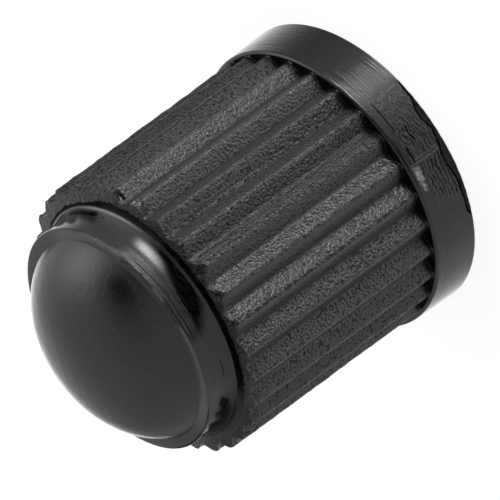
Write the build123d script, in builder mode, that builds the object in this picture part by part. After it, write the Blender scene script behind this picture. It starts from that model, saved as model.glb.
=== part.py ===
import os
from math import cos, radians, sin, sqrt

from build123d import *

# Tyre valve cap: one black plastic moulding, standing on its open mouth with the dome up
# The origin is the centre of the mouth, and sizes are in millimetres

# Bore for the valve stem's thread, blind, open at the mouth
bore_radius = 3.5  # the thread's inner radius
lead_in = 0.6  # bevel that guides the stem in
seat_wall = 0.81  # plastic between the bore's end and the shoulder
seat_width = 1.0  # step that the stem's end closes on
dome_wall = 1.85  # plastic over the hollow above the seat

# Smooth collar round the mouth
collar_wall = 1.5
collar_height = 1.66
collar_taper = 0.07  # radius lost from the mouth to the front
collar_round = 0.15  # rounded front edge
mouth_bevel = 0.08  # outer edge of the mouth

# Ribbed grip
grip_step = 0.11  # how far the ribs stand inside the collar's front edge
grip_length = 7.55
grip_taper = 0.135  # radius lost from the collar to the shoulder
rib_count = 30
rib_depth = 0.3
rib_land = 0.12  # narrow crest of each rib

# Neck, ledge and dome above the ribs
shoulder_width = 0.845
shoulder_rise = 0.15  # how much higher the shoulder is at the neck than at the ribs
neck_height = 1.19
neck_flare = 0.152  # how far the foot of the neck curves out
flare_height = 0.617
flare_round = 0.1  # hollow fillet between the flare and the shoulder
ledge_width = 0.36
dome_height = 1.72
dome_side_angle = 61  # how steeply the dome rises at its foot

# Sizes that follow from those
shoulder_height = collar_height + grip_length
ledge_height = shoulder_height + neck_height
cap_height = ledge_height + dome_height
bore_length = shoulder_height - seat_wall
hollow_top = cap_height - dome_wall
hollow_radius = bore_radius - seat_width
mouth_radius = bore_radius + collar_wall
collar_front_radius = mouth_radius - collar_taper
crest_radius = collar_front_radius - grip_step
shoulder_radius = crest_radius - grip_taper
neck_radius = shoulder_radius - shoulder_width
flare_radius = neck_radius + neck_flare
flare_foot_height = shoulder_height + shoulder_rise * (shoulder_width - neck_flare) / shoulder_width
flare_top_height = flare_foot_height + flare_height
dome_foot_radius = neck_radius - ledge_width

# The dome is two arcs that run into each other: a fuller one up from the foot and a flatter crown
foot = Vector(dome_foot_radius, ledge_height)
apex = Vector(0, cap_height)
foot_way = Vector(-1, 0).rotate(Axis.Z, -dome_side_angle)
apex_way = Vector(-1, 0)
chord = apex - foot
along = chord.dot(foot_way + apex_way)
turn = 1 - foot_way.dot(apex_way)
reach = (sqrt(along**2 + 2 * turn * chord.dot(chord)) - along) / (2 * turn)
crown_start = (foot + apex + (foot_way - apex_way) * reach) * 0.5


def crest_radius_at(height):
    return crest_radius - grip_taper * (height - collar_height) / grip_length


# One groove: a V with its root on the slope of the grip, from inside the collar to just past the shoulder
groove_start = collar_height - collar_round
groove_end = shoulder_height + rib_depth
root_start = Vector(crest_radius_at(groove_start) - rib_depth, 0, groove_start)
grip_slope = Vector(-grip_taper, 0, grip_length)
half_angle = radians(180 / rib_count) - rib_land / (2 * crest_radius)
half_width = crest_radius * sin(half_angle)
side_rise = crest_radius * cos(half_angle) - (crest_radius - rib_depth)
with BuildPart() as groove:
    with BuildSketch(Plane(origin=root_start, x_dir=(0, -1, 0), z_dir=grip_slope)):
        with BuildLine():
            # The sides are carried out to twice their height, clear of the crests
            Polyline((0, 0), (2 * half_width, 2 * side_rise), (-2 * half_width, 2 * side_rise), close=True)
        make_face()
    extrude(amount=groove_end - groove_start)

with BuildPart() as valve_cap:
    # Grip, neck and dome as one turned form
    with BuildSketch(Plane.XZ) as body_profile:
        with BuildLine():
            side = TangentArc(foot, crown_start, tangent=foot_way)
            crown = TangentArc(crown_start, apex, tangent=side % 1)
            flare = TangentArc(
                (neck_radius, flare_top_height),
                (flare_radius, flare_foot_height),
                tangent=(0, -1),
            )
            Polyline(side @ 0, (neck_radius, ledge_height), flare @ 0)
            Polyline(
                flare @ 1,
                (shoulder_radius, shoulder_height),
                (crest_radius_at(0), 0),
                (0, 0),
                crown @ 1,
            )
        make_face()
        flare_foot = body_profile.vertices().sort_by_distance((flare_radius, flare_foot_height))[0]
        fillet(flare_foot, flare_round)
    revolve(axis=Axis.Z)

    # Ribs, left standing between the grooves
    with PolarLocations(0, rib_count):
        add(groove.part, mode=Mode.SUBTRACT)

    # Collar, which the ribs and grooves run into
    with BuildSketch(Plane.XZ) as collar_profile:
        with BuildLine():
            Polyline(
                (0, 0),
                (mouth_radius, 0),
                (collar_front_radius, collar_height),
                (0, collar_height),
                close=True,
            )
        make_face()
        front_edge = collar_profile.vertices().sort_by_distance((collar_front_radius, collar_height))[0]
        fillet(front_edge, collar_round)
        mouth_edge = collar_profile.vertices().sort_by_distance((mouth_radius, 0))[0]
        chamfer(mouth_edge, mouth_bevel)
    revolve(axis=Axis.Z)

    # Blind bore: lead-in, thread wall, seat for the stem's end, and the hollow for the valve's pin
    with BuildSketch(Plane.XZ):
        with BuildLine():
            Polyline(
                (0, 0),
                (bore_radius + lead_in, 0),
                (bore_radius, lead_in),
                (bore_radius, bore_length),
                (hollow_radius, bore_length),
                (hollow_radius, hollow_top),
                (0, hollow_top),
                close=True,
            )
        make_face()
    revolve(axis=Axis.Z, mode=Mode.SUBTRACT)

valve_cap.part.label = "valve_cap"

os.makedirs("parts", exist_ok=True)
export_step(valve_cap.part, "parts/valve_cap.step")
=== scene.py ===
import math

import bmesh
import bpy
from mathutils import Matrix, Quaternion, Vector


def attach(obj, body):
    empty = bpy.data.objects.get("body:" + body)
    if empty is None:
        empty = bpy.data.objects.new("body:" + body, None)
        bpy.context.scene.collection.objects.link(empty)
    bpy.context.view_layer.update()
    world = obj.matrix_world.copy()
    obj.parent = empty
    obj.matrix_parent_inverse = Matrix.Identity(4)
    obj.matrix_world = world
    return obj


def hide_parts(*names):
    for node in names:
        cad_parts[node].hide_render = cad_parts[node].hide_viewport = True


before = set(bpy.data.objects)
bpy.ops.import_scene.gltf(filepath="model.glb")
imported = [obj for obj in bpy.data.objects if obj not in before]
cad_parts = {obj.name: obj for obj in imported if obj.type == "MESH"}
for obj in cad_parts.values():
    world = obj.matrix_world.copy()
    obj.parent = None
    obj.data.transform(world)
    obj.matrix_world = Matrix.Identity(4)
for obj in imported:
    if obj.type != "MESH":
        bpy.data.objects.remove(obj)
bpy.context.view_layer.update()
mm = 0.001


# Small helpers for edit mode


def startPiece(name):  # one loose vertex at the origin, in edit mode, to draw from
    bpy.ops.object.select_all(action="DESELECT")
    bpy.ops.mesh.primitive_plane_add(size=1)
    piece = bpy.context.object
    piece.name = name
    piece.data.name = name
    bpy.ops.object.mode_set(mode="EDIT")
    bpy.ops.mesh.select_all(action="SELECT")
    bpy.ops.mesh.merge(type="CENTER")
    return piece


def pick(test):  # selects the vertices whose place passes the test
    bpy.ops.mesh.select_all(action="DESELECT")
    mesh = bpy.context.edit_object.data
    form = bmesh.from_edit_mesh(mesh)
    for vert in form.verts:
        if test(vert.co):
            vert.select_set(True)
    form.select_flush(True)
    bmesh.update_edit_mesh(mesh, loop_triangles=False)


def moveBy(x, y, z):
    bpy.ops.transform.translate(value=(x, y, z))


def drawLine(start, end, steps):  # carries the last vertex of a profile on in equal steps
    for _ in range(steps):
        bpy.ops.mesh.extrude_region_move(
            TRANSFORM_OT_translate={"value": ((end[0] - start[0]) / steps, 0, (end[1] - start[1]) / steps)}
        )
    return end


def drawArc(start, centre, degrees, steps):  # turns the last vertex about a centre in the profile's plane
    bpy.ops.mesh.spin(
        steps=steps, angle=math.radians(degrees), center=(centre[0], 0, centre[1]), axis=(0, 1, 0)
    )
    turn = math.radians(degrees)
    dx, dz = start[0] - centre[0], start[1] - centre[1]
    return (
        centre[0] + dx * math.cos(turn) - dz * math.sin(turn),
        centre[1] + dx * math.sin(turn) + dz * math.cos(turn),
    )


# Cap: one moulding, drawn as a sector of one rib and carried round the axis, in millimetres

cap = {
    "ribs": 30,
    "columns": 16,  # across one rib
    "mouthRadius": 5.0,
    "mouthBevel": 0.03,
    "leadInRadius": 4.1,
    "collarHeight": 1.66,
    "collarTaper": 0.07,
    "collarRound": 0.09,
    "creaseHeight": 1.28,  # thin moulding line round the collar
    "creaseDepth": 0.003,
    "creaseWidth": 0.05,
    "crestRadius": 4.82,
    "gripTaper": 0.135,
    "gripRows": 88,
    "tipRows": 0.27,  # closer rows at the ribs' ends
    "tipRound": 0.03,
    "shoulderHeight": 9.21,
    "shoulderRise": 0.15,  # from the ribs' ends to the neck
    "ribDepth": 0.3,
    "crestDrop": 0.014,  # rounding each side of a crest
    "rootRise": 0.024,  # and at the bottom of each groove
    "neckRadius": 3.84,
    "neckFlare": 0.152,  # hollow flare at the foot of the neck
    "flareHeight": 0.617,
    "flareRound": 0.1,  # where the flare meets the shoulder
    "ledgeHeight": 10.4,
    "lipRound": 0.04,
    "domeFoot": 3.48,
    "domeSideAngle": 61,
    "capHeight": 12.12,
    "threadTip": 3.5,
    "threadRoot": 3.87,
    "threadPitch": 0.794,
    "threadStart": 0.25,
    "boreEnd": 8.4,
    "hollowRadius": 2.5,
    "hollowTop": 10.27,
}


def domeArcs():  # the two arcs of the dome's section: centres and turns, foot first
    foot = Vector((cap["domeFoot"], cap["ledgeHeight"]))
    apex = Vector((0, cap["capHeight"]))
    side = math.radians(cap["domeSideAngle"])
    footWay = Vector((-math.cos(side), math.sin(side)))
    apexWay = Vector((-1, 0))
    chord = apex - foot
    along = chord.dot(footWay + apexWay)
    turn = 1 - footWay.dot(apexWay)
    reach = (math.sqrt(along**2 + 2 * turn * chord.dot(chord)) - along) / (2 * turn)
    meet = (foot + apex + (footWay - apexWay) * reach) * 0.5
    crownRadius = (meet.x**2 + (meet.y - apex.y) ** 2) / (2 * (apex.y - meet.y))
    crown = Vector((0, apex.y - crownRadius))
    outward = Vector((footWay.y, -footWay.x))
    step = meet - foot
    sideRadius = step.dot(step) / (-2 * step.dot(outward))
    sideCentre = foot - outward * sideRadius
    crownTurn = math.degrees(math.atan2(meet.x, meet.y - crown.y))
    return sideCentre, cap["domeSideAngle"] - crownTurn, crown, crownTurn


def drawProfile():  # half section of the outside, from the mouth's inner edge to the top of the dome
    bevel, corner = cap["mouthBevel"], cap["collarRound"]
    height, top = cap["collarHeight"], cap["shoulderHeight"]
    slope = cap["collarTaper"] / height

    def collarAt(z):
        return cap["mouthRadius"] - slope * z

    def onShoulder(r):
        return (r, top + shoulderSlope() * (crestAt(top) - r))

    at = (cap["leadInRadius"], 0)
    moveBy(at[0], 0, at[1])
    at = drawLine(at, (cap["mouthRadius"] - bevel, 0), 2)
    at = drawLine(at, (collarAt(bevel), bevel), 2)
    half = cap["creaseWidth"] / 2
    crease = cap["creaseHeight"]
    at = drawLine(at, (collarAt(crease - half), crease - half), 22)
    at = drawLine(at, (collarAt(crease) - cap["creaseDepth"], crease), 1)
    at = drawLine(at, (collarAt(crease + half), crease + half), 1)
    at = drawLine(at, (collarAt(height - corner), height - corner), 5)
    # Rounded front edge, as far as the crests of the ribs
    inner = at[0] - corner
    at = drawArc(at, (inner, at[1]), math.degrees(math.acos((crestAt(height) - inner) / corner)), 6)
    # Grip, with closer rows at the shoulder
    close, tip = top - cap["tipRows"], top - cap["tipRound"]
    at = drawLine(at, (at[0], height + 0.005), 1)
    at = drawLine(at, (crestAt(close), close), cap["gripRows"])
    at = drawLine(at, (crestAt(tip), tip), 6)
    at = drawLine(at, (crestAt(top) - cap["tipRound"] / 2, top), 1)
    # Shoulder, flared foot of the neck, neck and ledge
    neck, flare, rise = cap["neckRadius"], cap["neckFlare"], cap["flareHeight"]
    at = drawLine(at, onShoulder(crestAt(top) - cap["ribDepth"] - 0.02), 1)
    bend = (rise**2 + flare**2) / (2 * flare)
    turn = math.degrees(math.asin(rise / bend))
    tilt = 90 - math.degrees(math.atan(shoulderSlope()))
    lean, fillet = math.radians(tilt), cap["flareRound"]
    cut = fillet * math.tan(math.radians(tilt - turn) / 2)
    foot = onShoulder(neck + flare)
    at = drawLine(at, onShoulder(neck + flare + cut * math.sin(lean)), 3)
    middle = (at[0] + fillet * math.cos(lean), at[1] + fillet * math.sin(lean))
    at = drawArc(at, middle, turn - tilt, 4)
    middle = (neck + bend, foot[1] + rise)
    at = drawArc(at, middle, -math.degrees(math.asin((middle[1] - at[1]) / bend)), 7)
    lip, ledge = cap["lipRound"], cap["ledgeHeight"]
    at = drawLine(at, (neck, ledge - lip), 7)
    at = drawArc(at, (neck - lip, ledge - lip), 90, 2)
    at = drawLine(at, (cap["domeFoot"], ledge), 3)
    sideCentre, sideTurn, crown, crownTurn = domeArcs()
    at = drawArc(at, sideCentre, sideTurn, 13)
    at = drawArc(at, crown, crownTurn, 9)


def crestAt(height):  # radius of the ribs' crests
    up = (height - cap["collarHeight"]) / (cap["shoulderHeight"] - cap["collarHeight"])
    return cap["crestRadius"] - cap["gripTaper"] * up


def shoulderSlope():
    return cap["shoulderRise"] / (crestAt(cap["shoulderHeight"]) - cap["neckRadius"])


def shapeRib():  # presses the sector's columns in, so that one V-shaped rib is left standing
    columns = cap["columns"]
    wide = math.radians(360 / cap["ribs"])
    middle = columns // 2
    low, high = cap["collarHeight"] + 0.001, cap["shoulderHeight"] + 0.001
    form = bmesh.from_edit_mesh(bpy.context.edit_object.data)
    rows = {}  # each height and its outermost radius
    for vert in form.verts:
        if low < vert.co.z < high:
            z = round(vert.co.z, 4)
            rows[z] = max(rows.get(z, 0), vert.co.xy.length)
    plain = [z for z, radius in rows.items() if radius > crestAt(z) - 0.001]
    groups = [(min(plain), max(plain))] + [(z, z) for z in rows if z not in plain]
    for column in range(columns + 1):
        away = abs(column - middle)
        if away == 0:
            continue
        steep = (cap["ribDepth"] - cap["crestDrop"] - cap["rootRise"]) / (middle - 2)
        drop = cap["ribDepth"] if away == middle else cap["crestDrop"] + steep * (away - 1)
        turn = wide * column / columns
        for start, end in groups:
            reach = crestAt((start + end) / 2) - drop
            pick(
                lambda co: start - 0.0005 < co.z < end + 0.0005
                and co.xy.length > (reach if start == end else 4.3)
                and abs(math.atan2(co.y, co.x) - turn) < 0.001
            )
            squeeze = 1 - drop / cap["crestRadius"] if start < end else reach / rows[start]
            if squeeze < 1:
                bpy.ops.transform.resize(value=(squeeze, squeeze, 1), center_override=(0, 0, 0))
            if start > cap["shoulderHeight"] - 0.001:  # the grooves end on the slope of the shoulder
                moveBy(0, 0, drop * shoulderSlope())


def makeSkin():
    skin = startPiece("cap_moulding")
    drawProfile()
    bpy.ops.mesh.select_all(action="SELECT")
    sector = math.radians(360 / cap["ribs"])
    bpy.ops.mesh.spin(steps=cap["columns"], angle=-sector, center=(0, 0, 0), axis=(0, 0, 1))
    bpy.ops.mesh.select_all(action="SELECT")
    bpy.ops.mesh.remove_doubles(threshold=0.0005)
    shapeRib()
    bpy.ops.mesh.select_all(action="SELECT")
    copies = cap["ribs"] - 1
    bpy.ops.mesh.spin(steps=copies, angle=-sector * copies, dupli=True, center=(0, 0, 0), axis=(0, 0, 1))
    bpy.ops.mesh.select_all(action="SELECT")
    bpy.ops.mesh.remove_doubles(threshold=0.0005)
    bpy.ops.mesh.normals_make_consistent(inside=False)
    bpy.ops.object.mode_set(mode="OBJECT")
    print("skin", len(skin.data.vertices), "vertices")
    return skin


def makeBore():  # threaded wall, seat and hollow, open at the lead-in
    bore = startPiece("cap_bore")
    tip, root, pitch = cap["threadTip"], cap["threadRoot"], cap["threadPitch"]
    start = -2 * pitch
    at = (root, start)
    moveBy(at[0], 0, at[1])
    at = drawLine(at, (root, start + 0.14 * pitch), 1)
    at = drawLine(at, (tip, start + 0.46 * pitch), 2)
    at = drawLine(at, (tip, start + 0.64 * pitch), 1)
    at = drawLine(at, (root, start + pitch), 2)
    bpy.ops.object.mode_set(mode="OBJECT")
    screw = bore.modifiers.new("thread", "SCREW")
    screw.axis = "Z"
    screw.angle = math.radians(360)
    screw.screw_offset = pitch
    screw.iterations = 15
    screw.steps = screw.render_steps = 64
    bpy.ops.object.modifier_apply(modifier=screw.name)
    bpy.ops.object.mode_set(mode="EDIT")
    bpy.ops.mesh.select_all(action="SELECT")
    bpy.ops.mesh.remove_doubles(threshold=0.0005)
    bpy.ops.mesh.bisect(plane_co=(0, 0, cap["threadStart"]), plane_no=(0, 0, 1), clear_inner=True)
    bpy.ops.mesh.select_all(action="SELECT")
    bpy.ops.mesh.bisect(plane_co=(0, 0, cap["boreEnd"]), plane_no=(0, 0, 1), clear_outer=True)
    bpy.ops.mesh.select_all(action="DESELECT")
    bpy.ops.mesh.primitive_circle_add(vertices=64, radius=cap["hollowRadius"], location=(0, 0, cap["boreEnd"]))
    bpy.ops.mesh.extrude_region_move(
        TRANSFORM_OT_translate={"value": (0, 0, cap["hollowTop"] - cap["boreEnd"])}
    )
    bpy.ops.mesh.edge_face_add()
    pick(lambda co: abs(co.z - cap["boreEnd"]) < 0.0005)
    bpy.ops.mesh.bridge_edge_loops()
    bpy.ops.object.mode_set(mode="OBJECT")
    print("bore", len(bore.data.vertices), "vertices")
    return bore


def joinCap(skin, bore):
    bpy.ops.object.select_all(action="DESELECT")
    bore.select_set(True)
    skin.select_set(True)
    bpy.context.view_layer.objects.active = skin
    bpy.ops.object.join()
    bpy.ops.object.mode_set(mode="EDIT")
    edge = cap["leadInRadius"]
    pick(
        lambda co: (abs(co.z) < 0.0005 and co.xy.length < edge + 0.001)
        or abs(co.z - cap["threadStart"]) < 0.0005 and co.xy.length < cap["threadRoot"] + 0.01
    )
    bpy.ops.mesh.bridge_edge_loops()
    bpy.ops.mesh.select_all(action="SELECT")
    bpy.ops.mesh.normals_make_consistent(inside=False)
    bpy.ops.object.mode_set(mode="OBJECT")


# Wear: ragged rib ends, nicks and chips, pressed into the skin before it is joined

wear = {
    # heights, azimuths and how far the ribs are pressed in at each notch by the shoulder
    "notches": [
        (9.0, 9.2, -46.5, -43.5, 0.2),
        (9.06, 9.25, -60.5, -57.5, 0.12),
        (9.03, 9.3, -91.3, -89.2, 0.16),
        (9.1, 9.3, -91.7, -88, 0.18),
        (9.09, 9.3, -102.6, -99.8, 0.24),
        (9.12, 9.3, -114.6, -112, 0.18),
        (8.97, 9.3, -55.6, -52.4, 0.07),
        (9.12, 9.3, -79.5, -76.5, 0.1),
    ],
    "nick": (1.27, 1.46, -114, -104.5, 0.02),
    # size of the noise, how far it moves the surface and the tone that stays where it is
    "tips": (0.14, 0.07, 0.75),
    "crests": (0.35, 0.03, 0.6),
    "chips": (0.22, 0.02, 1.0),
    "flash": (0.15, 0.015, 0.7),
}


def turnOf(co):  # azimuth in degrees
    return math.degrees(math.atan2(co.y, co.x))


def inside(value, low, high, soft):  # 1 between the two, falling to 0 over the soft margin
    return max(0.0, min(1.0, (value - low) / soft + 0.5, (high - value) / soft + 0.5))


def roughen(piece, name, weigh, size, reach, middle):  # moves the weighed vertices by soft noise
    group = piece.vertex_groups.new(name=name)
    for vert in piece.data.vertices:
        weight = weigh(vert.co)
        if weight > 0:
            group.add([vert.index], weight, "REPLACE")
    clouds = bpy.data.textures.new(name, "CLOUDS")
    clouds.noise_scale = size
    clouds.noise_depth = 2
    clouds.contrast = 1.6
    push = piece.modifiers.new(name, "DISPLACE")
    push.texture = clouds
    push.texture_coords = "LOCAL"
    push.vertex_group = name
    push.strength = reach
    push.mid_level = middle
    push.direction = "NORMAL"
    bpy.ops.object.select_all(action="DESELECT")
    piece.select_set(True)
    bpy.context.view_layer.objects.active = piece
    bpy.ops.object.modifier_apply(modifier=push.name)
    piece.vertex_groups.remove(piece.vertex_groups[name])


def wearSkin(piece):
    bpy.ops.object.mode_set(mode="EDIT")
    for low, high, start, end, depth in wear["notches"] + [wear["nick"]]:
        pick(lambda co: low < co.z < high and start < turnOf(co) < end and co.xy.length > 4.45)
        squeeze = 1 - depth / cap["crestRadius"]
        bpy.ops.transform.resize(value=(squeeze, squeeze, 1), center_override=(0, 0, 0))
    bpy.ops.object.mode_set(mode="OBJECT")

    def tips(co):
        return inside(co.z, 9.0, 9.215, 0.1) if co.xy.length > 4.42 else 0

    def crests(co):
        return inside(co.z, 2.3, 9.0, 0.4) * max(0.0, 1 - (crestAt(co.z) - co.xy.length) / 0.12)

    def chips(co):
        return max(0.0, 1 - co.z / 0.3) * inside(turnOf(co), -135, -80, 12) if co.xy.length > 4.8 else 0

    def flash(co):
        return inside(co.z, 10.25, 10.45, 0.2) * inside(turnOf(co), -110, -45, 16) if co.xy.length > 3.6 else 0

    roughen(piece, "rib_tips", tips, *wear["tips"])
    roughen(piece, "crests", crests, *wear["crests"])
    roughen(piece, "mouth_chips", chips, *wear["chips"])
    roughen(piece, "lip_flash", flash, *wear["flash"])


piece = makeSkin()
wearSkin(piece)
joinCap(piece, makeBore())

# Millimetres to the frame's metres
bpy.ops.object.mode_set(mode="EDIT")
bpy.ops.mesh.select_all(action="SELECT")
bpy.ops.transform.resize(value=(mm, mm, mm), center_override=(0, 0, 0))
bpy.ops.object.mode_set(mode="OBJECT")
bpy.ops.object.shade_smooth_by_angle(angle=math.radians(40))


# Small helpers for node trees


def nodeTools(tree):  # sums and soft edges, as nodes of one tree
    nodes, links = tree.nodes, tree.links

    def fill(socket, value):
        if isinstance(value, bpy.types.NodeSocket):
            links.new(value, socket)
        else:
            socket.default_value = value

    def calc(operation, first, second=0.0):
        node = nodes.new("ShaderNodeMath")
        node.operation = operation
        fill(node.inputs[0], first)
        fill(node.inputs[1], second)
        return node.outputs[0]

    def chain(operation, values):
        total = values[0]
        for value in values[1:]:
            total = calc(operation, total, value)
        return total

    def times(*values):
        return chain("MULTIPLY", values)

    def plus(*values):
        return chain("ADD", values)

    def most(*values):
        return chain("MAXIMUM", values)

    def less(first, second):
        return calc("SUBTRACT", first, second)

    def rest(share):  # what a share leaves of the whole
        return less(1.0, share)

    def ramp(value, low, high):  # 0 below, 1 above, smooth between
        node = nodes.new("ShaderNodeMapRange")
        node.interpolation_type = "SMOOTHSTEP"
        fill(node.inputs["Value"], value)
        node.inputs["From Min"].default_value = low
        node.inputs["From Max"].default_value = high
        return node.outputs["Result"]

    def band(value, low, high, soft):  # 1 between the two
        return less(ramp(value, low - soft, low + soft), ramp(value, high - soft, high + soft))

    return calc, times, plus, most, less, rest, ramp, band


# Black plastic: one finish that changes from place to place, with heights in millimetres

plastic = {
    "black": 0.002,
    "specular": 0.5,
    "domeRoughness": 0.1,
    "neckRoughness": 0.1,
    "collarRoughness": 0.18,
    "gripRoughness": 0.28,
    "otherRoughness": 0.25,
    "gripGrey": 0.02,
    "tipGrey": 0.016,
    "ledgeGrey": 0.055,
    "domeGrey": 0.004,
    "nickGrey": 0.2,
    # painted highlight of the thin light line at the foot of the neck
    "ringGlintGrey": 0.1,
    "grain": 0.06,
    "pitShade": 0.6,
    "streaks": 0.03,
    "turning": 0.009,
    "scuffs": 0.045,
    "ridges": 0.006,
    "ridgeRate": 46.0,  # radians of wave in a millimetre of height
    "haze": 0.003,
    "unevenness": 0.012,
    "specks": 0.018,
}

marks = {
    # raised lines on the collar: azimuths, heights and how far they stand up
    "raised": [
        (-104.6, -104.2, 0.25, 1.4, 0.016),
        (-103.2, -102.8, 0.25, 1.4, 0.012),
        (-54.8, -54.6, 0.2, 1.2, 0.003),
        (-132.2, -131.6, 0.5, 0.88, 0.006),
        (-127.8, -127.2, 0.45, 0.85, 0.006),
        (-131.6, -127.8, 0.85, 0.89, 0.006),
    ],
    # painted highlight lines, greyer where flow lines, scratches and the rounded groove roots catch the light:
    # azimuths, heights and how grey
    "glintLines": [
        (-71.5, -71.0, 5.3, 9.1, 0.05),
        (-69.8, -69.4, 6.0, 9.0, 0.04),
        (-84.1, -83.3, 1.8, 9.1, 0.045),
        (-96.1, -95.3, 1.8, 6.0, 0.045),
        (-77.8, -77.3, 0.2, 1.35, 0.03),
        (-61, -46.5, 10.28, 10.38, 0.02),
    ],
    # the chipped mouth edge, darkened as painted shade: azimuths, softness and how much it reaches up
    "mouth": [
        (-133, -85, 4.0, 0.3),
        (-85, -76, 3.0, 0.19),
        (-114, -104, 6.0, 0.16),
        (-94, -88, 3.0, 0.08),
    ],
    # the rest are windows: azimuths, heights, softness of each pair and strength
    "streaks": [
        (-89.5, -83.5, 1.8, 9.3, 0.6, 0.1, 1.0),
        (-77, -72.5, 1.8, 9.3, 0.8, 0.1, 0.5),
        (-71.5, -67, 5.0, 9.3, 0.5, 0.5, 1.2),
    ],
    "scraped": [(-106, -60, 9.93, 10.4, 5.0, 0.05, 1.0)],
    "scuffed": [(-124, -78, 0.1, 1.35, 3.0, 0.1, 1.0)],
    "fan": [(-124, -105, 0.25, 1.2, 1.0, 0.08, 5.0)],
    "ridges": [
        (-97.5, -90.5, 0.65, 1.2, 1.0, 0.08, 4.5),
        (-103, -96, 0.4, 0.7, 1.5, 0.08, 0.8),
    ],
    # painted shade along the collar's thin moulding line
    "creaseShade": [
        (-103.5, -97.5, 1.25, 1.31, 0.6, 0.012, 1.0),
        (-91, -78, 1.255, 1.305, 1.0, 0.012, 0.95),
    ],
    "nickEnd": [(-115, -111, 1.25, 1.41, 1.2, 0.05, 1.0)],
    "nick": [(-111.4, -104.3, 1.23, 1.47, 1.3, 0.06, 1.0)],
    "scores": [
        (-106, -67, 10.185, 10.21, 3.0, 0.012, 1.0),
        (-57, -49, 10.245, 10.265, 1.0, 0.012, 1.0),
        (-137, -128, 9.635, 9.67, 1.0, 0.012, 1.0),
        (-141, -134, 9.985, 10.015, 1.0, 0.012, 0.8),
    ],
    # painted dark reflections of the shoulder and rib ends on the neck
    "darkReflections": [
        (-174, -148, 9.52, 9.92, 5.0, 0.14, 1.0),
        (-36, -12, 9.46, 9.62, 3.0, 0.06, 1.0),
        (-40, -37.5, 9.54, 9.59, 0.8, 0.03, 1.0),
    ],
    # painted highlight: streaks of light along the lip
    "lipGlints": [(-89, -62, 10.24, 10.38, 4.0, 0.03, 1.0)],
}


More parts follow.
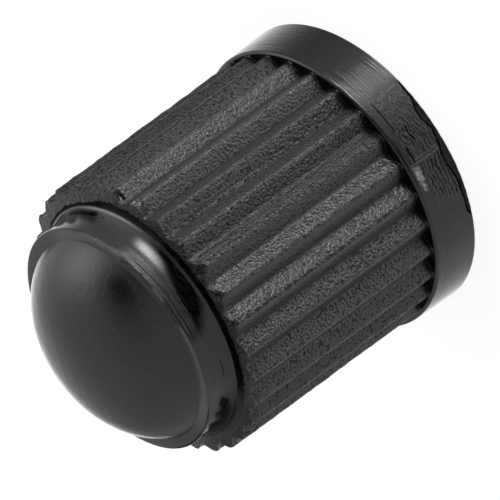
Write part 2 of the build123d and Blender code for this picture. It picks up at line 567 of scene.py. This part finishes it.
def makePlastic():
    material = bpy.data.materials.new("black_plastic_moulded")
    material.use_nodes = True
    nodes, links = material.node_tree.nodes, material.node_tree.links
    shader = nodes["Principled BSDF"]
    calc, times, plus, most, less, rest, ramp, band = nodeTools(material.node_tree)

    scaled = nodes.new("ShaderNodeVectorMath")
    scaled.operation = "SCALE"
    links.new(nodes.new("ShaderNodeTexCoord").outputs["Object"], scaled.inputs[0])
    scaled.inputs["Scale"].default_value = 1 / mm
    place = scaled.outputs[0]
    apart = nodes.new("ShaderNodeSeparateXYZ")
    links.new(place, apart.inputs[0])
    x, y, z = apart.outputs
    turn = times(calc("ARCTAN2", y, x), math.degrees(1))
    radius = calc("SQRT", plus(times(x, x), times(y, y)))

    def noise(across, along, detail=2.0, rough=0.5):  # blobs per millimetre across and along the axis
        stretch = nodes.new("ShaderNodeVectorMath")
        stretch.operation = "MULTIPLY"
        links.new(place, stretch.inputs[0])
        stretch.inputs[1].default_value = (across, across, along)
        node = nodes.new("ShaderNodeTexNoise")
        links.new(stretch.outputs[0], node.inputs["Vector"])
        node.inputs["Scale"].default_value = 1.0
        node.inputs["Detail"].default_value = detail
        node.inputs["Roughness"].default_value = rough
        return less(node.outputs[0], 0.5)

    def patch(start, end, low, high, softTurn, softHeight):  # a window on the outside
        return times(band(turn, start, end, softTurn), band(z, low, high, softHeight))

    def windows(name):  # all the windows of one kind of mark
        return plus(*[times(patch(*window), strength) for *window, strength in marks[name]])

    # Places
    grip = times(band(z, 1.69, 9.2, 0.02), ramp(radius, 4.2, 4.4))
    collar = times(ramp(radius, 4.4, 4.5), rest(ramp(z, 1.64, 1.68)))
    neck = times(band(z, 9.3, 10.38, 0.03), ramp(radius, 3.7, 3.75))
    ledge = times(band(z, 10.36, 10.44, 0.02), ramp(radius, 3.46, 3.5))
    dome = ramp(z, 10.4, 10.5)
    shoulder = times(band(z, 9.2, 9.36, 0.02), ramp(radius, 4.0, 4.04))
    # the shoulder's inner trough, which is painted black as shade further down
    troughEdge = plus(4.29, times(noise(5, 5, 3.0, 0.6), -0.25), times(ramp(turn, -42, -22), -0.16))
    trough = times(shoulder, rest(ramp(less(radius, troughEdge), -0.03, 0.03)))
    tips = less(shoulder, trough)  # the ribs' ends, grained as the ribs are
    rightEnd = most(rest(ramp(turn, -162, -138)), ramp(turn, 150, 168))  # of the neck and shoulder
    behind = ramp(turn, 35, 60)  # round the back, all the ribs are alike
    leftSide = band(turn, -37, 45, 4.0)
    textured = plus(grip, times(tips, rest(times(rightEnd, 0.7))))

    # Grain of the ribs
    ribTurn = 360 / cap["ribs"]
    away = less(calc("FLOORED_MODULO", plus(turn, ribTurn), ribTurn), ribTurn / 2)  # degrees from the nearest crest
    pits = noise(12, 12, 0.8, 0.5)
    rubbed = plus(0.5, times(plus(band(turn, -146, -37, 3.0), behind), 0.5))  # fainter round the sides
    half = ramp(turn, -85, -83)  # and on the flank that each half of the mould slid along
    near, far = ramp(away, -0.6, 0.4), ramp(away, -0.4, 0.6)
    flank = plus(times(near, rest(half)), times(rest(far), half))
    even = plus(0.4, times(band(turn, -96, -72, 1.0), 0.25))
    coarse = most(plus(even, times(flank, rest(even))), behind)
    bright = plus(band(turn, -113, -95, 0.8), band(turn, -60, -37, 0.8))  # shallower where the ribs shine
    gain = plus(1.0, times(band(turn, -84, -61, 0.5), 0.4), times(bright, -0.25), times(leftSide, 0.5))
    streaked = plus(windows("streaks"), times(band(turn, -60, 45, 1.0), 0.3))  # scratched, with less grain
    grain = times(pits, plastic["grain"], rubbed, coarse, textured, gain, rest(times(streaked, 0.6)))
    streaks = times(noise(14, 0.45, 2.0, 0.6), plastic["streaks"], streaked, grip)

    # Turning lines and scuffs of the collar and lip
    scraped = times(windows("scraped"), neck)
    turned = plus(0.5, times(ramp(turn, -140, -125), 0.5), band(turn, -75, -65, 3.0))
    turned = plus(times(collar, turned), times(scraped, 3.0))
    turning = times(noise(0.5, 16, 3.0, 0.6), plastic["turning"], turned)
    scuffed = times(windows("scuffed"), collar)
    scuffs = times(noise(4, 9, 3.0, 0.6), plastic["scuffs"], scuffed)

    # Ridges of the worn part of the collar, with painted shade in the hollows between them, painted light on their
    # crowns, and one painted dark arc across them
    arch = plus(times(band(turn, -95.5, -92.5, 3.0), 0.1), times(band(turn, -116, -108, 7.0), 0.08))
    level = less(z, arch)
    wave = calc("SINE", plus(times(level, plastic["ridgeRate"]), times(noise(2.2, 2.6, 3.0, 0.6), 16.0)))
    broken = ramp(noise(2.5, 5, 3.0, 0.6), -0.2, 0.08)
    fan = times(windows("fan"), ramp(less(turn, times(z, 5.0)), -125, -122))
    ridgePlace = plus(fan, windows("ridges"))
    ridges = times(wave, broken, plastic["ridges"], ridgePlace)
    ridged = times(broken, calc("MINIMUM", times(ridgePlace, 0.2), 0.85))
    furrowShade = times(ramp(wave, 0.2, 0.8), ridged)
    ridgeTopLight = times(ramp(wave, -0.3, -0.9), ridged)
    gougeShade = band(plus(level, times(noise(4, 4), 0.1)), 0.82, 0.89, 0.015)
    gougeShade = times(gougeShade, band(turn, -97, -91, 0.6))

    # Heights together
    lines = plus(*[times(patch(*window, 0.25, 0.03), rise) for *window, rise in marks["raised"]])
    haze = times(noise(13, 13, 3.0, 0.6), plus(times(dome, plastic["haze"]), times(neck, 0.0025)))
    uneven = times(noise(2.6, 2.6, 3.0, 0.6), dome, plastic["unevenness"])
    bump = nodes.new("ShaderNodeBump")
    bump.inputs["Strength"].default_value = 1.0
    bump.inputs["Distance"].default_value = mm
    links.new(plus(grain, streaks, turning, scuffs, ridges, lines, haze, uneven), bump.inputs["Height"])
    links.new(bump.outputs[0], shader.inputs["Normal"])

    # Gloss
    gloss = plus(
        times(dome, plastic["domeRoughness"]),
        times(neck, plus(plastic["neckRoughness"], times(scraped, 0.15))),
        times(collar, plus(plastic["collarRoughness"], times(scuffed, 0.15))),
        times(grip, plus(plastic["gripRoughness"], times(rest(rubbed), 0.25))),
        times(rest(plus(dome, neck, collar, grip)), plastic["otherRoughness"]),
    )
    cloudy = plus(times(noise(2, 2), 0.08), times(dome, noise(4, 4, 4.0, 0.7), 0.12))
    links.new(plus(gloss, cloudy), shader.inputs["Roughness"])

    # Light lost in the pits of the grain and at the feet of the ribs
    ragged = times(band(away, 0.0, 1.1, 0.3), band(turn, -117, -88, 1.0))
    deep = rest(ramp(plus(pits, times(ragged, -0.15)), -0.14, -0.04))
    deep = times(deep, rest(times(bright, 0.3)))
    corner = rest(ramp(plus(z, times(noise(3, 3, 2.0), 0.3)), 1.7, 1.98))
    open_ = rest(times(textured, most(times(deep, coarse, plastic["pitShade"]), times(corner, 0.92))))

    # Chipped edge of the mouth, dark and dull as painted shade for the dark table and shadow it reflects, blackest
    # as a painted dark line along its ragged top
    reaches = [times(band(turn, start, end, soft), rise) for start, end, soft, rise in marks["mouth"]]
    above = less(z, plus(-0.08, *reaches, times(noise(4, 4, 3.0, 0.65), 0.14)))
    chipsAndShade = times(rest(ramp(above, -0.02, 0.02)), collar)
    chipEdgeShade = band(above, -0.075, 0.01, 0.015)

    # Places without shine: scored lines and the worn ledge, and painted shade and painted dark reflections where
    # the part lies in shade
    scored = times(windows("scores"), plus(0.7, times(noise(1.5, 3), 2.0)))
    darkReflected = ramp(plus(windows("darkReflections"), times(noise(3, 3, 2.0), 1.4)), 0.35, 0.85)
    frayed = ramp(plus(radius, times(noise(6, 6, 2.0, 0.6), 0.3)), 3.68, 3.72)
    worn = times(plus(band(turn, -104, -90.5, 1.0), band(turn, -83.5, -62.5, 1.0)), frayed)
    ledgeEnds = plus(rest(ramp(turn, -175, -150)), ramp(turn, -25, -5))
    lipEnd = most(rest(ramp(turn, -172, -160)), ramp(turn, 150, 168))
    lipEnd = times(lipEnd, band(z, 10.3, 10.42, 0.02), ramp(radius, 3.74, 3.78))
    valley = times(ramp(calc("ABSOLUTE", away), 4.6, 5.6), band(turn, -64, -44, 2.0))
    dull = most(
        # painted shade: the ribs' ends dull, more so at the right end
        times(tips, plus(0.35, times(rightEnd, 0.4))),
        # painted shade: the neck's right end and the shoulder's trough dull and dark
        times(neck, rightEnd, 0.88),
        times(trough, less(0.97, times(rightEnd, 0.3))),
        # scored lines, and painted dark reflections of the shoulder and rib ends
        times(neck, most(scored, times(darkReflected, 0.93))),
        # painted shade: the grip dull on its left side, beyond -156 degrees and in the grooves between -64 and -44
        # degrees
        times(grip, leftSide, 0.4),
        times(grip, rest(ramp(turn, -158, -154)), 0.25),
        times(grip, valley, 0.5),
        # painted shade on the chipped mouth edge, darkest along its ragged top
        times(chipsAndShade, plus(0.78, times(chipEdgeShade, 0.22))),
        # painted shade along the collar's moulding line
        windows("creaseShade"),
        # painted shade: the hollows between the collar's ridges, and a dark arc across them
        furrowShade,
        gougeShade,
        times(ledge, most(worn, ledgeEnds), 0.6),
        # painted shade at the lip's right end
        times(lipEnd, 0.99),
    )
    links.new(times(open_, rest(dull), plastic["specular"]), shader.inputs["Specular IOR Level"])

    # Greyer and paler places: the plastic's own tones, dust specks and the torn nick, with painted highlights and
    # painted light and shade
    # Painted highlights: greyer lines where the light catches the ribs' groove roots, flow lines and the lip
    glintLines = []
    for start, end, low, high, tone in marks["glintLines"]:
        glintLines.append(times(patch(start, end, low, high, 0.25, 0.02 + 0.03 * (high - low)), tone))
    glintLines = times(plus(*glintLines), plus(0.75, times(noise(2, 1.6, 2.0), 2.0)), ramp(radius, 3.75, 3.8))
    specks = plus(ramp(noise(8, 8, 1.0), 0.23, 0.3), times(ramp(noise(17, 17, 0.0), 0.19, 0.27), 0.7))
    specks = times(specks, plus(dome, times(collar, 0.6), times(neck, 0.4)))
    torn = most(windows("nickEnd"), windows("nick"))
    torn = ramp(plus(torn, times(noise(7, 7, 3.0, 0.7), 2.6)), 0.35, 1.2)
    torn = times(torn, plus(0.8, times(noise(9, 20, 2.0), 2.0)))
    # Speckled dust on the ledge with painted light: less grey at the right end and more between -62 and -46
    # degrees, following the ledge's reflection
    ledgeDustAndLight = times(ledge, plus(0.75, times(noise(10, 10, 3.0, 0.7), 1.6)), rest(times(worn, 0.6)))
    front = less(ramp(turn, -175, -145), ramp(turn, 150, 170))
    ledgeDustAndLight = times(ledgeDustAndLight, plus(0.5, times(front, 0.5), times(band(turn, -62, -46, 4.0), 0.25)))
    # The ribs' own grey, with painted light added on the coarse flanks and painted shade on the left side, which
    # gets half as much
    gripGrey = times(plus(plastic["gripGrey"], times(coarse, 0.009)), rest(times(leftSide, 0.5)))
    # Painted highlight streaks on the lip
    lipGlint = times(windows("lipGlints"), plus(0.6, times(noise(5, 5, 3.0), 3.0)))
    # Painted highlight: the thin light line where the neck's flare meets the shoulder
    ringGlint = times(band(z, 9.345, 9.4, 0.02), ramp(radius, 3.93, 3.96), band(turn, -56, -24, 10.0))
    grey = plus(
        plastic["black"],
        glintLines,
        times(grip, open_, gripGrey),
        # painted reflection: one flank of each rib between -132 and -114 degrees greyer
        times(grip, rest(near), band(turn, -132, -114, 0.5), 0.007),
        # the ribs' ends grey, with painted shade taking grey away at the right end
        times(tips, open_, less(plastic["tipGrey"], times(rightEnd, 0.009))),
        times(ledgeDustAndLight, plastic["ledgeGrey"]),
        times(dome, plastic["domeGrey"]),
        # painted highlight: the neck greyer between -71 and -36 degrees
        times(neck, band(turn, -71, -36, 4.0), 0.018),
        times(neck, noise(4, 14, 3.0), 0.025),
        times(neck, lipGlint, 0.025),
        times(ringGlint, plastic["ringGlintGrey"]),
        times(collar, torn, plastic["nickGrey"]),
        times(chipsAndShade, rest(chipEdgeShade), plus(0.5, times(noise(6, 6, 2.0), 2.0)), 0.012),
        # painted light on the crowns of the collar's ridges
        times(ridgeTopLight, 0.012),
        times(specks, plastic["specks"]),
    )
    links.new(grey, shader.inputs["Base Color"])
    return material


piece.data.materials.clear()
piece.data.materials.append(makePlastic())

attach(piece, "root")
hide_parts("valve_cap")
print("cap", len(piece.data.polygons), "faces")


# Studio: floor, surroundings and camera

studio = {
    "floorSize": 4.0,
    "floorDrop": 0.02 * mm,  # keeps the mouth clear of the floor's own plane
    "floorTone": 0.28,
    "floorGlow": 0.84,
    "level": 0.78,  # the white room all round
    # azimuth and elevation in degrees, width in degrees, and what each adds
    "lamps": {
        "left": (6, 28, 17, 1.9),
        "fill": (-92, -50, 18, 0.9),
        "backdrop": (86, -24, 24, 0.88),
    },
    # the same, with the share that each takes away
    "flags": {
        "viewer": (-45, 45, 13, 0.97),
        "viewerSide": (-65, 58, 20, 0.4),
        "table": (114, 2, 20, 0.6),
        "low": (10, -28, 17, 0.6),
    },
    # azimuths, elevations, softness of the edges and share taken away, and for a slanted card
    # where its lower edge starts to rise, how steeply it rises, and how much its side leans
    "darkCards": {
        "front": ((-135, -44), (-29, 24), 5, 0.985, -96, 0.85, 0.55),
        "sillLeft": ((14, 60), (-22, -3), 5, 0.7),
        "back": ((56, 150), (2, 48), 14, 0.12),
        "behind": ((100, 117), (-17, -4), 4, 0.5),
        "right": ((114, 157), (-25, -7), 7, 0.8),
        "horizon": ((78, 114), (-8, 9), 5, 0.18),
    },
    # the same, with what each adds
    "lightCards": {
        "key": ((-58, -45), (-60, -26), 5, 2.3),
        "window": ((-63, -36), (-18, 2), 7, 12.0, 0, 0, 0.35),
    },
}


def lookFrom(azimuth, elevation):
    a, e = math.radians(azimuth), math.radians(elevation)
    return Vector((math.cos(a) * math.cos(e), math.sin(a) * math.cos(e), math.sin(e)))


def makeRoom():
    world = bpy.data.worlds.new("studio")
    bpy.context.scene.world = world
    world.use_nodes = True
    nodes, links = world.node_tree.nodes, world.node_tree.links
    nodes.clear()
    calc, times, plus, most, less, rest, ramp, band = nodeTools(world.node_tree)
    way = nodes.new("ShaderNodeTexCoord").outputs["Generated"]
    apart = nodes.new("ShaderNodeSeparateXYZ")
    links.new(way, apart.inputs[0])
    x, y, z = apart.outputs
    turn = times(calc("ARCTAN2", y, x), math.degrees(1))
    rise = times(calc("ARCSINE", z), math.degrees(1))

    def lobe(azimuth, elevation, width):  # a soft round patch of the room, 1 at its middle
        dot = nodes.new("ShaderNodeVectorMath")
        dot.operation = "DOT_PRODUCT"
        links.new(way, dot.inputs[0])
        dot.inputs[1].default_value = lookFrom(azimuth, elevation)
        sharp = 1 / math.radians(width) ** 2
        return calc("EXPONENT", times(less(dot.outputs["Value"], 1.0), sharp))

    def edge(value, at, soft):
        return ramp(value, at - soft, at + soft)

    def card(turns, rises, soft, bend=0, slope=0, lean=0):
        low = rises[0]
        beside = less(turn, times(less(rise, low), lean))
        across = less(edge(beside, turns[0], soft * (2 if lean else 1)), edge(turn, turns[1], soft))
        along = band(rise, *rises, soft)
        if slope:
            along = times(along, edge(less(rise, times(less(turn, bend), slope)), low, soft))
        return times(across, along)

    light = studio["level"]
    for *spot, strength in studio["lamps"].values():
        light = plus(light, times(lobe(*spot), strength))
    for *spot, share in studio["flags"].values():
        light = times(light, rest(times(lobe(*spot), share)))
    for turns, rises, soft, share, *slant in studio["darkCards"].values():
        light = times(light, rest(times(card(turns, rises, soft, *slant), share)))
    for turns, rises, soft, strength, *slant in studio["lightCards"].values():
        light = plus(light, times(card(turns, rises, soft, *slant), strength))
    seen = nodes.new("ShaderNodeLightPath").outputs["Is Camera Ray"]  # the camera sees plain white
    background = nodes.new("ShaderNodeBackground")
    background.inputs["Color"].default_value = (1, 1, 1, 1)
    links.new(plus(seen, times(light, rest(seen))), background.inputs["Strength"])
    out = nodes.new("ShaderNodeOutputWorld")
    links.new(background.outputs[0], out.inputs["Surface"])


def makeFloor():
    bpy.ops.object.select_all(action="DESELECT")
    bpy.ops.mesh.primitive_plane_add(size=studio["floorSize"])
    floor = bpy.context.object
    floor.name = "studio_floor"
    floor.location.z = -studio["floorDrop"]
    sheet = bpy.data.materials.new("floor_white")
    sheet.use_nodes = True
    nodes, links = sheet.node_tree.nodes, sheet.node_tree.links
    nodes.clear()
    matt = nodes.new("ShaderNodeBsdfDiffuse")
    tone = studio["floorTone"]
    matt.inputs["Color"].default_value = (tone, tone, tone, 1)
    glow = nodes.new("ShaderNodeEmission")
    glow.inputs["Strength"].default_value = studio["floorGlow"]
    both = nodes.new("ShaderNodeAddShader")
    links.new(matt.outputs[0], both.inputs[0])
    links.new(glow.outputs[0], both.inputs[1])
    out = nodes.new("ShaderNodeOutputMaterial")
    links.new(both.outputs[0], out.inputs["Surface"])
    floor.data.materials.append(sheet)
    floor.visible_glossy = False
    floor.visible_diffuse = False
    floor.visible_shadow = False


view = {
    "azimuth": -92.0,
    "elevation": 29.82,
    "roll": -126.2,
    "distance": 0.1226,
    "aim": (-0.1923 * mm, 0.0185 * mm, 4.8508 * mm),
    "lens": 290.0,
    "sensor": 36.0,
    "clipStart": 0.01,
}


def makeCamera():
    lens = bpy.data.cameras.new("camera")
    lens.lens = view["lens"]
    lens.sensor_width = view["sensor"]
    lens.clip_start = view["clipStart"]
    camera = bpy.data.objects.new("camera", lens)
    bpy.context.collection.objects.link(camera)
    back = lookFrom(view["azimuth"], view["elevation"])
    camera.location = Vector(view["aim"]) + back * view["distance"]
    camera.rotation_mode = "QUATERNION"
    level = (-back).to_track_quat("-Z", "Y")
    camera.rotation_quaternion = level @ Quaternion((0, 0, 1), math.radians(view["roll"]))
    bpy.context.scene.camera = camera


makeRoom()
makeFloor()
makeCamera()
bpy.context.scene.view_settings.view_transform = "Standard"
print("studio ready")
